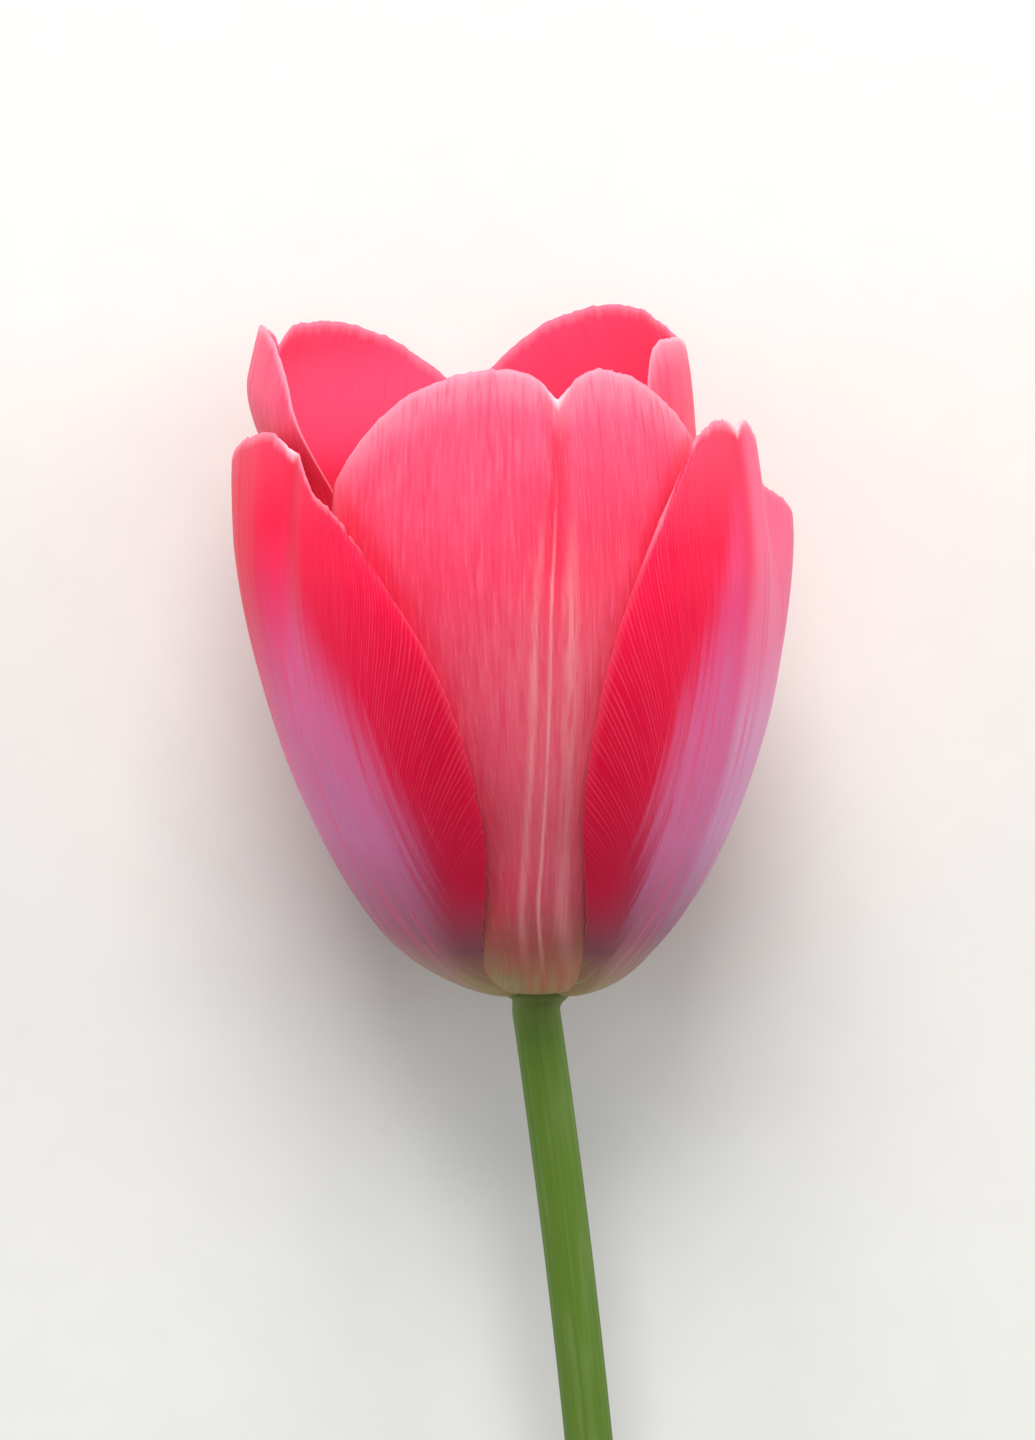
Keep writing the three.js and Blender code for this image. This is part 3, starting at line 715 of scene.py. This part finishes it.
def petal_fields(petal, middle, v):
    """What the finish reads at each point of the middle surface: v, the distance from the midrib, the
    height as a share of the petal's, the distances from the foot and from the margin, and the feather,
    which is the same all along a side vein: the distance from the foot less what the vein has climbed."""
    run = travelled(middle, 0)
    wide = travelled(middle, 1)
    wide -= wide[:, [PETAL_COLUMNS // 2]]
    beside = np.where(v < 0, wide - wide[:, [0]], wide[:, [-1]] - wide)
    below = run[[-1]] - run
    least = 1e-3
    edge = 1 / np.sqrt(1 / (beside + least) ** 2 + 1 / (below + least) ** 2)
    outward = np.clip(np.abs(v), 0, 1)
    climb = (INNER_MARGIN_PITCH if petal["inner"] else OUTER_MARGIN_PITCH) * outward
    climb += MIDRIB_PITCH / VEIN_CURVE * (1 - (1 - outward) ** VEIN_CURVE)
    rise = np.clip(middle[..., 1] / petal["height"], 0, 1)
    return {"across": v, "wide": wide, "rise": rise, "run": run, "feather": run - climb, "edge": edge}


def petal_blade(petal, seed):
    """A fine petal: the middle surface raised in ribs along its veins, thickened outwards to the solid's
    outer face, thinning to its margin, and pressed flat where it meets the table."""
    u, v, jag = petal_grid(seed)
    middle = petal_point(petal, u, v, jag)
    skin = petal_fields(petal, middle, v)
    ribs = uneven(seed + 1, VEIN_RIBS, skin["wide"])
    ribs *= smooth(0, RIBS_FOOT_RUN, skin["run"]) * smooth(0, RIBS_MARGIN_RUN, skin["edge"])
    swells = uneven(seed + 2, SWELLS, skin["wide"] + SWELLS_SLANT * skin["run"])
    swells *= smooth(SWELLS_START, SWELLS_END, skin["run"])
    body = (1 - v**SOLID_MARGIN_POWER) * (1 - u**SOLID_MARGIN_POWER)
    outside = (SOLID_MARGIN + (SOLID_THICKNESS - SOLID_MARGIN) * body) / 2 + ribs + swells
    low = 1 - smooth(SETTLE_START, SETTLE_END, middle[..., 1])
    if petal["inner"]:
        outside += FOOT_SETTLE * low
    else:
        outside -= MARGIN_SETTLE * low * np.abs(v) ** MARGIN_SETTLE_POWER
    full = 1 - np.exp(-skin["edge"] / MARGIN_RUN)
    thickness = MARGIN_THICKNESS + (BLADE_THICKNESS - MARGIN_THICKNESS) * full
    normal = unit(np.cross(np.gradient(middle, axis=1), np.gradient(middle, axis=0)))
    outer = middle + normal * outside[..., None]
    inner = middle + normal * (outside - thickness)[..., None]
    outer[..., 2] = np.maximum(outer[..., 2], table_z(outer[..., 1]))
    inner[..., 2] = np.maximum(inner[..., 2], table_z(inner[..., 1]) + thickness)
    fields = {name: np.stack([values, values]) for name, values in skin.items()}
    fields["inside"] = np.stack([np.zeros_like(v), np.ones_like(v)])
    faces = shell_faces(PETAL_ROWS + 1, PETAL_COLUMNS + 1)
    finish = petal_finish(petal, seed)
    blade = np.stack([outer, inner])
    make_piece(petal["name"] + "_blade", blade, faces, finish, petal["name"], fields)


def petal_finish(petal, seed):
    """Satin petal skin. Fine streaks follow the veins, which leave the foot side by side and curve out to
    the margins. The flame's streaks run lengthwise."""
    skin = Finish(petal["name"] + "_skin")
    names = ("across", "wide", "rise", "run", "feather", "edge", "inside")
    fields = {name: skin.attribute(name) for name in names}
    add_grains(skin, fields, seed)
    fields["beside"] = abs(fields["across"])
    fields["off_midrib"] = abs(fields["wide"])
    fields["ragged_edge"] = fields["edge"] + (fields["lengths"] - 0.5) * RIM_RAGGED
    fade = WHITE_FADES.get(petal["name"], WHITE_FADE)
    fields["white_rim_and_highlight"] = fields["edge"] + fields["off_midrib"] * fade
    face = inner_face(skin, fields, petal) if petal["inner"] else outer_face(skin, fields, petal)
    face = skin.painted(fields, face, FOOT_AND_RIM_LAYERS)
    lining = skin.painted(fields, skin.ramp(fields["rise"], LINING_PINKS), LINING_LAYERS)
    relief = sum(fields[name] * height for name, height in RELIEF.items())
    return skin.close(
        Base_Color=skin.mix(fields["inside"], face, lining),
        Roughness=0.42 + fields["hairs"] * 0.16,
        Normal=skin.bump(relief, 0.06),
        Subsurface_Weight=0.2,
        Subsurface_Radius=(1.0, 0.3, 0.3),
        Subsurface_Scale=1.2 * MILLIMETRE,
        Sheen_Weight=0.02,
        Sheen_Roughness=0.4,
        Specular_IOR_Level=0.2,
    )


def add_grains(skin, fields, seed):
    """Adds the grains to a petal's fields."""
    for name, kind in GRAINS.items():
        first, second = (fields[field] * cycles for field, cycles in zip(kind["over"], kind["cycles"]))
        place = skin.vector(first, second, seed + kind["offset"])
        fields[name] = skin.noise(place, kind["detail"], kind["roughness"])


def inner_face(skin, fields, petal):
    """Outer face of an inner petal, with pale stripes low down, which swing out from the midrib."""
    rise = fields["rise"]
    swing = skin.ease(rise, 0.0, 0.2) * skin.ease(rise, 1.0, 0.6) * STRIPE_SWING
    middle = fields["wide"] + swing
    fields["off_stripe"] = abs(middle)
    ragged = (fields["lengths"] - 0.5) * STRIPE_RAGGED
    stripes = []
    for stripe in STRIPES:
        name = f"stripe_at_{stripe['centre']}"
        fields[name] = abs(middle - stripe["centre"] + ragged)
        strength = stripe["strength"]
        bands = [(name, stripe["half"], 0.0), *STRIPE_BANDS]
        varied = ("lengths", strength * STRIPE_GAIN)
        stripes.append(layer(STRIPE_CREAM, strength * STRIPE_LEAST, *bands, varied=varied))
    margin = layer(RIM_PINK, 0.5, ("edge", PALE_MARGIN_RUNS[petal["name"]], 0.3), ("rise", 0.6, 0.85))
    layers = [*INNER_LOW_LAYERS, *stripes, *THREAD_LAYERS, margin, *STROKE_LAYERS]
    return skin.painted(fields, skin.ramp(rise, INNER_SALMONS), layers)


def outer_face(skin, fields, petal):
    """Outer face of an outer petal: red with feathered side veins, and the violet flame along its midrib,
    whose half width shrinks as a power of the height."""
    rise, flame = fields["rise"], FLAMES[petal["name"]]
    turns = fields["feather"] * (2 * math.pi / VEIN_SPACING) + fields["patches"] * VEIN_WANDER
    fields["vein"] = turns.cosine()
    red = skin.painted(fields, skin.ramp(rise, OUTER_REDS), OUTER_LAYERS)
    right = skin.ease(fields["across"], -MIDRIB_BLEND, MIDRIB_BLEND)

    def by_side(pair):
        return right * (pair[1] - pair[0]) + pair[0]

    half = by_side(flame["half"]) * (1.0 - (rise / by_side(flame["reach"])) ** FLAME_TAPER)
    streaks = sum(fields[name] * share for name, share in FLAME_STREAKS.items())
    distance = fields["beside"] + (streaks - 0.5) * FLAME_RAGGED
    share = skin.ease((half - distance) / by_side(flame["soft"]), -1.0, 1.0)
    lilac = skin.mix(right, *(skin.ramp(rise, run) for run in flame["runs"]))
    lilac = skin.painted(fields, lilac, FLAME_LAYERS)
    face = skin.mix(share * (fields["hairs"] * FLAME_GAIN + FLAME_LEAST), red, lilac)
    return skin.painted(fields, face, OVER_FLAME_LAYERS)


def ring_angles(sides):
    """Angles of a ring's points about the y axis, the first at the front."""
    return np.linspace(0, 2 * math.pi, sides, endpoint=False)


def rings(heights, radii, angles, breadth=1.0):
    """Points of a stack of rings about the y axis. Each ring has a height and a radius, or a radius for
    each of its angles. breadth stretches the rings along x."""
    x = radii * np.sin(angles) * breadth
    z = radii * np.cos(angles)
    return np.stack([x, np.broadcast_to(heights[:, None], x.shape), z], -1)


def lobed(radii, angles, lobes):
    """Radii of rings that swell by a share a few times round, at each of their angles."""
    return radii[:, None] * (1 + lobes["depth"] * np.cos(lobes["count"] * angles))


def ring_piece(name, points, finish, node, fields):
    """A closed piece from a stack of rings, with one more point in the middle of each end."""
    rows, columns = points.shape[:2]
    index = np.arange(rows * columns).reshape(rows, columns)
    beside = np.roll(index, -1, axis=1)
    quads = np.stack([index[:-1], beside[:-1], beside[1:], index[1:]], -1).reshape(-1, 4)
    first = np.full(columns, rows * columns)
    first_cap = np.stack([first, beside[0], index[0]], -1)
    last_cap = np.stack([first + 1, index[-1], beside[-1]], -1)
    faces = quads.tolist() + first_cap.tolist() + last_cap.tolist()
    everything = np.concatenate([points.reshape(-1, 3), points[[0]].mean(1), points[[-1]].mean(1)])
    extended = {}
    for key, values in fields.items():
        extended[key] = np.append(values.ravel(), [values[0].mean(), values[-1].mean()])
    make_piece(name, everything, faces, finish, node, extended)


def stem_centre(s):
    """Centre line of the stem, s millimetres below the petals' foot."""
    x = STEM_START_X * smooth(0, STEM_START_RUN, s) + STEM_SLOPE * s - STEM_BEND * s * s
    return np.stack([x, -s, STEM_ARCH * np.sin(math.pi * s / STEM_LENGTH)], -1)


def place_on_stem(points):
    """Rings about the y axis carried onto the stem's centre line, the lowest ones slanted to the cut. Near
    the bloom the rings stay level."""
    s = np.maximum(0, -points[..., 1])
    step = 0.1
    ahead = unit(stem_centre(s + step) - stem_centre(s))
    level = smooth(STEM_UPRIGHT_RUN, 0, s)[..., None]
    along = unit(ahead * (1 - level) + np.array([0, -1, 0]) * level)
    right = unit(np.array([1, 0, 0]) - along * along[..., :1])
    front = -np.cross(right, along)
    cut = CUT_SLOPE * points[..., 2] * smooth(STEM_LENGTH - CUT_RUN, STEM_LENGTH, s)
    moved = stem_centre(s) + right * points[..., :1] + front * points[..., 2:] + along * cut[..., None]
    moved[..., 1] += np.maximum(0, points[..., 1])
    moved[..., 2] = np.maximum(moved[..., 2], table_z(moved[..., 1]))
    return moved


def make_stem():
    """The stem and its swollen top: rings whose radius flares into the knob, with fine lengthwise ribs that
    wander a little and fade under the bloom."""
    s = np.linspace(1, 0, STEM_ROWS) ** STEM_ROW_CROWDING * (STEM_LENGTH - CUT_EDGE)
    seat_radius = KNOB_RADIUS + SEAT_GAP
    shaft = STEM_RADIUS + (seat_radius - STEM_RADIUS) * smooth(FLARE_LENGTH, 0, s) ** 2
    quarter = np.linspace(0, math.pi / 2, KNOB_ROWS)
    knob_heights = KNOB_SHOULDER + (KNOB_TOP - KNOB_SHOULDER + KNOB_CROWN) * np.sin(quarter)
    knob_radii = (seat_radius + KNOB_SPREAD) * np.cos(quarter) ** 0.5
    heights = np.concatenate([np.array(CUT_HEIGHTS) - STEM_LENGTH, -s, knob_heights])
    radii = np.concatenate([STEM_RADIUS * np.array(CUT_RADII), shaft, knob_radii])[:, None]
    angles = ring_angles(STEM_SIDES)
    ribs = np.cos(STEM_RIBS["count"] * angles + STEM_RIBS["wander"] * np.sin(STEM_RIBS["wanders"] * angles))
    fade = smooth(STEM_RIBS["start"], STEM_RIBS["end"], -heights)[:, None]
    points = place_on_stem(rings(heights, radii * (1 + STEM_RIBS["depth"] * ribs * fade), angles))
    cut = np.zeros(points.shape[:2])
    cut[: len(CUT_RADII)] = 1.0
    fields = {"below": -points[..., 1], "turn": np.broadcast_to(angles, cut.shape), "cut": cut}
    ring_piece("green_stem", points, stem_finish(), "stem", fields)


def stem_finish():
    """Waxy green skin with pale lengthwise lines, yellower inside the stem at its cut face."""
    skin = Finish("stem_skin")
    below, turn, cut = skin.attribute("below"), skin.attribute("turn"), skin.attribute("cut")
    fields = {"below": below}
    for name, kind in STEM_GRAINS.items():
        down = below * kind["down"] + kind["offset"]
        place = skin.vector(turn.sine() * kind["round"], turn.cosine() * kind["round"], down)
        fields[name] = skin.noise(place, kind["detail"], kind["roughness"])
    green = skin.painted(fields, skin.mix(fields["lines"], STEM_GREEN, STEM_LIGHT), STEM_LAYERS)
    flesh = skin.mix(skin.ease(fields["specks"], 0.55, 0.65), CUT_PALE, CUT_GREEN)
    return skin.close(
        Base_Color=skin.mix(cut, green, flesh),
        Roughness=0.5 + fields["clouds"] * 0.25,
        Normal=skin.bump(fields["lines"] * 0.7 + fields["specks"] * 0.15, 0.08),
        Subsurface_Weight=0.12,
        Subsurface_Radius=(0.6, 1.0, 0.3),
        Subsurface_Scale=1.0 * MILLIMETRE,
    )


def mottled_finish(name, low, high, spots_per_mm, roughness, relief):
    """Two close colours in fine mottling, with a matching relief so many millimetres deep."""
    skin = Finish(name)
    mottle = skin.noise(skin.place(), 4.0, 0.6, spots_per_mm / MILLIMETRE)
    return skin.close(
        Base_Color=skin.mix(skin.ease(mottle, 0.3, 0.7), low, high),
        Roughness=roughness,
        Normal=skin.bump(mottle, relief),
        Subsurface_Weight=0.1,
        Subsurface_Radius=(1.0, 0.7, 0.4),
        Subsurface_Scale=1.0 * MILLIMETRE,
    )


def crowded(count):
    """Shares from 0 to 1 that crowd together at both ends."""
    return (1 - np.cos(np.linspace(0, math.pi, count))) / 2


def closing_ends(t, body):
    """How full a body is at the share t of its length: about 1 in its middle, and less towards its ends, as
    a power of 4t(1 - t)."""
    return (4 * t * (1 - t) + body["end"]) ** body["bluntness"]


def carried(points, lean, offset, azimuth):
    """Points leaned about x, moved by an offset, then carried round the bloom's axis."""
    c, s = math.cos(lean), math.sin(lean)
    x = points[..., 0] + offset[0]
    y = points[..., 1] * c - points[..., 2] * s + offset[1]
    z = points[..., 1] * s + points[..., 2] * c + offset[2]
    c, s = math.cos(azimuth), math.sin(azimuth)
    return np.stack([x * c + z * s, y, z * c - x * s], -1)


def stalk_points():
    """A filament standing at the origin: a round taper with blunt ends."""
    t = crowded(FILAMENT["rows"])
    heights = t * (FILAMENT["length"] + FILAMENT["sink"] + SEAT_GAP) - FILAMENT["sink"]
    radii = (FILAMENT["radius"] - FILAMENT["taper"] * t) * closing_ends(t, FILAMENT)
    return rings(heights, radii[:, None], ring_angles(FILAMENT["sides"]))


def pod_points():
    """An anther standing at the origin: a long oval pod, broader than deep, with four lobes."""
    t = crowded(ANTHER["rows"])
    angles = ring_angles(ANTHER["sides"])
    radii = ANTHER["radius"] * closing_ends(t, ANTHER)
    return rings(t * ANTHER["length"], lobed(radii, angles, ANTHER_LOBES), angles, ANTHER["breadth"])


def make_stamens():
    """Six stalks that stand on the knob, and the six long pods on their tips."""
    cream = mottled_finish("filament_skin", tint(232, 222, 150), tint(214, 204, 168), 0.8, 0.45, 0.05)
    purple = mottled_finish("anther_skin", tint(44, 22, 40), tint(86, 54, 78), 2.4, 0.85, 0.12)
    stalk, pod = stalk_points(), pod_points()
    foot = np.array([0, BASE_Y + STAMEN_SEAT_LIFT, STAMEN_SEAT_RADIUS])
    stalk_lean, pod_lean = math.radians(FILAMENT["lean"]), math.radians(ANTHER["lean"])
    reach = FILAMENT["length"] + SEAT_GAP
    tip = foot + np.array([0, reach * math.cos(stalk_lean), reach * math.sin(stalk_lean)])
    for number in range(1, STAMEN_COUNT + 1):
        azimuth = math.radians(STAMEN_FIRST_AZIMUTH + 360 / STAMEN_COUNT * (number - 1))
        filament, anther = f"filament_{number}", f"anther_{number}"
        placed = carried(stalk, stalk_lean, foot, azimuth)
        ring_piece(filament + "_stalk", placed, cream, filament, {})
        placed = carried(pod, pod_lean, tip, azimuth)
        ring_piece(anther + "_pod", placed, purple, anther, {})


def make_ovary():
    """The three-sided ovary, with a belly, a slight taper and a furrow down each side."""
    green = mottled_finish("ovary_skin", tint(176, 196, 120), tint(196, 208, 142), 0.5, 0.4, 0.04)
    t = crowded(OVARY["rows"])
    angles = ring_angles(OVARY["sides"])
    heights = t * (OVARY["length"] + 2 * OVARY["sink"]) + BASE_Y - OVARY["sink"]
    belly = OVARY["belly"] * np.sin(math.pi * t ** OVARY["belly_power"])
    radii = (OVARY["radius"] + belly - OVARY["taper"] * t) * closing_ends(t, OVARY)
    points = rings(heights, lobed(radii, angles, OVARY_LOBES), angles)
    ring_piece("ovary_column", points, green, "ovary", {})


def make_stigma():
    """The three-lobed stigma on the ovary. It swells to a crest, then turns over and closes."""
    cream = mottled_finish("stigma_skin", tint(236, 222, 150), tint(216, 200, 120), 3.0, 0.7, 0.15)
    t = np.linspace(0, 1, STIGMA["rows"])
    angles = ring_angles(STIGMA["sides"])
    foot = BASE_Y + OVARY["length"] + SEAT_GAP - STIGMA["sink"]
    heights = foot + (STIGMA["height"] + STIGMA["sink"]) * np.sin(t * math.pi * STIGMA_ARC)
    crest = np.sin(math.pi * (STIGMA_CREST_START + STIGMA_CREST_SPAN * t)) ** STIGMA["crest_power"]
    top = np.sqrt(np.clip(STIGMA_TOP_END - t**STIGMA_TOP_POWER, STIGMA_LEAST, 1))
    radii = (STIGMA["radius"] + STIGMA["crest"] * crest) * top
    points = rings(heights, lobed(radii, angles, STIGMA_LOBES), angles)
    ring_piece("stigma_crest", points, cream, "stigma", {})


def make_table():
    """A plain pale table top under the flower."""
    mesh = bpy.data.meshes.new("table_top")
    half = TABLE_HALF
    corners = [(-half, -half, 0), (half, -half, 0), (half, half, 0), (-half, half, 0)]
    mesh.from_pydata(corners, [], [(0, 1, 2, 3)])
    paint = Finish("table_paint")
    speckle = paint.noise(paint.place(), 3.0, scale=TABLE_GRAINS_PER_METRE)
    colour = paint.mix(speckle, tint(226, 226, 223), tint(231, 231, 228))
    mesh.materials.append(paint.close(Base_Color=colour, Roughness=0.75))
    table = bpy.data.objects.new("table_top", mesh)
    bpy.context.scene.collection.objects.link(table)


def make_light(name, place, width, watts, colour):
    """A square soft box at a place, facing the bloom."""
    lamp = bpy.data.lights.new(name, "AREA")
    lamp.shape = "SQUARE"
    lamp.size = width
    lamp.energy = watts
    lamp.color = colour
    box = bpy.data.objects.new(name, lamp)
    box.location = place
    box.rotation_euler = (Vector(LIGHTS_AIM) - Vector(place)).to_track_quat("-Z", "Y").to_euler()
    bpy.context.scene.collection.objects.link(box)


def make_camera():
    """The photograph's view: straight at the bloom's front from a little above its side, at the
    photograph's scale."""
    rise = LOOK_DOWN - TILT
    towards_camera = Vector((0, math.sin(rise), math.cos(rise)))
    picture_up = Vector((0, math.cos(rise), -math.sin(rise)))
    foot = Vector((-REST_X, FOOT_Y, FOOT_HEIGHT)) * MILLIMETRE
    right = (PHOTO_WIDTH / 2 - FOOT_PIXEL[0]) / PIXELS_PER_MM * MILLIMETRE
    up = (FOOT_PIXEL[1] - PHOTO_HEIGHT / 2) / PIXELS_PER_MM * MILLIMETRE
    aim = foot + Vector((right, 0, 0)) + picture_up * up
    lens = bpy.data.cameras.new("camera")
    lens.sensor_width = SENSOR_WIDTH
    lens.lens = SENSOR_WIDTH * CAMERA_DISTANCE / (PHOTO_HEIGHT / PIXELS_PER_MM * MILLIMETRE)
    camera = bpy.data.objects.new("camera", lens)
    camera.location = aim + towards_camera * CAMERA_DISTANCE
    camera.rotation_euler = Matrix((Vector((1, 0, 0)), picture_up, towards_camera)).transposed().to_euler()
    bpy.context.scene.collection.objects.link(camera)
    bpy.context.scene.camera = camera


def light_scene():
    """A soft box past the bloom's mouth, a broad one overhead, a weaker one on each side, and a pale sky."""
    for light in LIGHTS:
        make_light(**light)
    world = bpy.data.worlds.new("studio")
    world.use_nodes = True
    sky = world.node_tree.nodes["Background"]
    sky.inputs["Color"].default_value = SKY_COLOUR
    sky.inputs["Strength"].default_value = SKY_STRENGTH
    bpy.context.scene.world = world
    bpy.context.scene.view_settings.view_transform = "Standard"


make_camera()
make_table()
light_scene()
for number, petal in enumerate(PETALS):
    petal_blade(petal, 10 * number + 3)
make_stem()
make_stamens()
make_ovary()
make_stigma()
